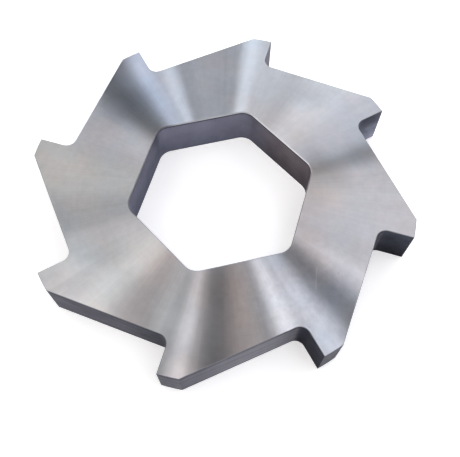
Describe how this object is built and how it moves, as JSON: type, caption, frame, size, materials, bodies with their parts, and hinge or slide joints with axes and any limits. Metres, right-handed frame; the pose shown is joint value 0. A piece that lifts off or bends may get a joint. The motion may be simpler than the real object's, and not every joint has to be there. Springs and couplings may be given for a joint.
{
  "type": "shredder blade",
  "caption": "Flat toothed steel cutter disc with hooked teeth, rounded gullets and a hexagonal bore, for the shaft of a shredder.",
  "frame": {"origin": "centre of the bore on the underside of the blade", "axes": "+Z along the bore; +X through a tooth tip and square to a flat of the bore; +Y through a tooth tip and a corner of the bore"},
  "size_m": [0.4, 0.4, 0.05],
  "materials": {
    "ground_steel": "faces ground in circles about the bore, with darker cut sides and bore walls"
  },
  "bodies": {
    "root": {"blade": "ground_steel"}
  },
  "joints": []
}
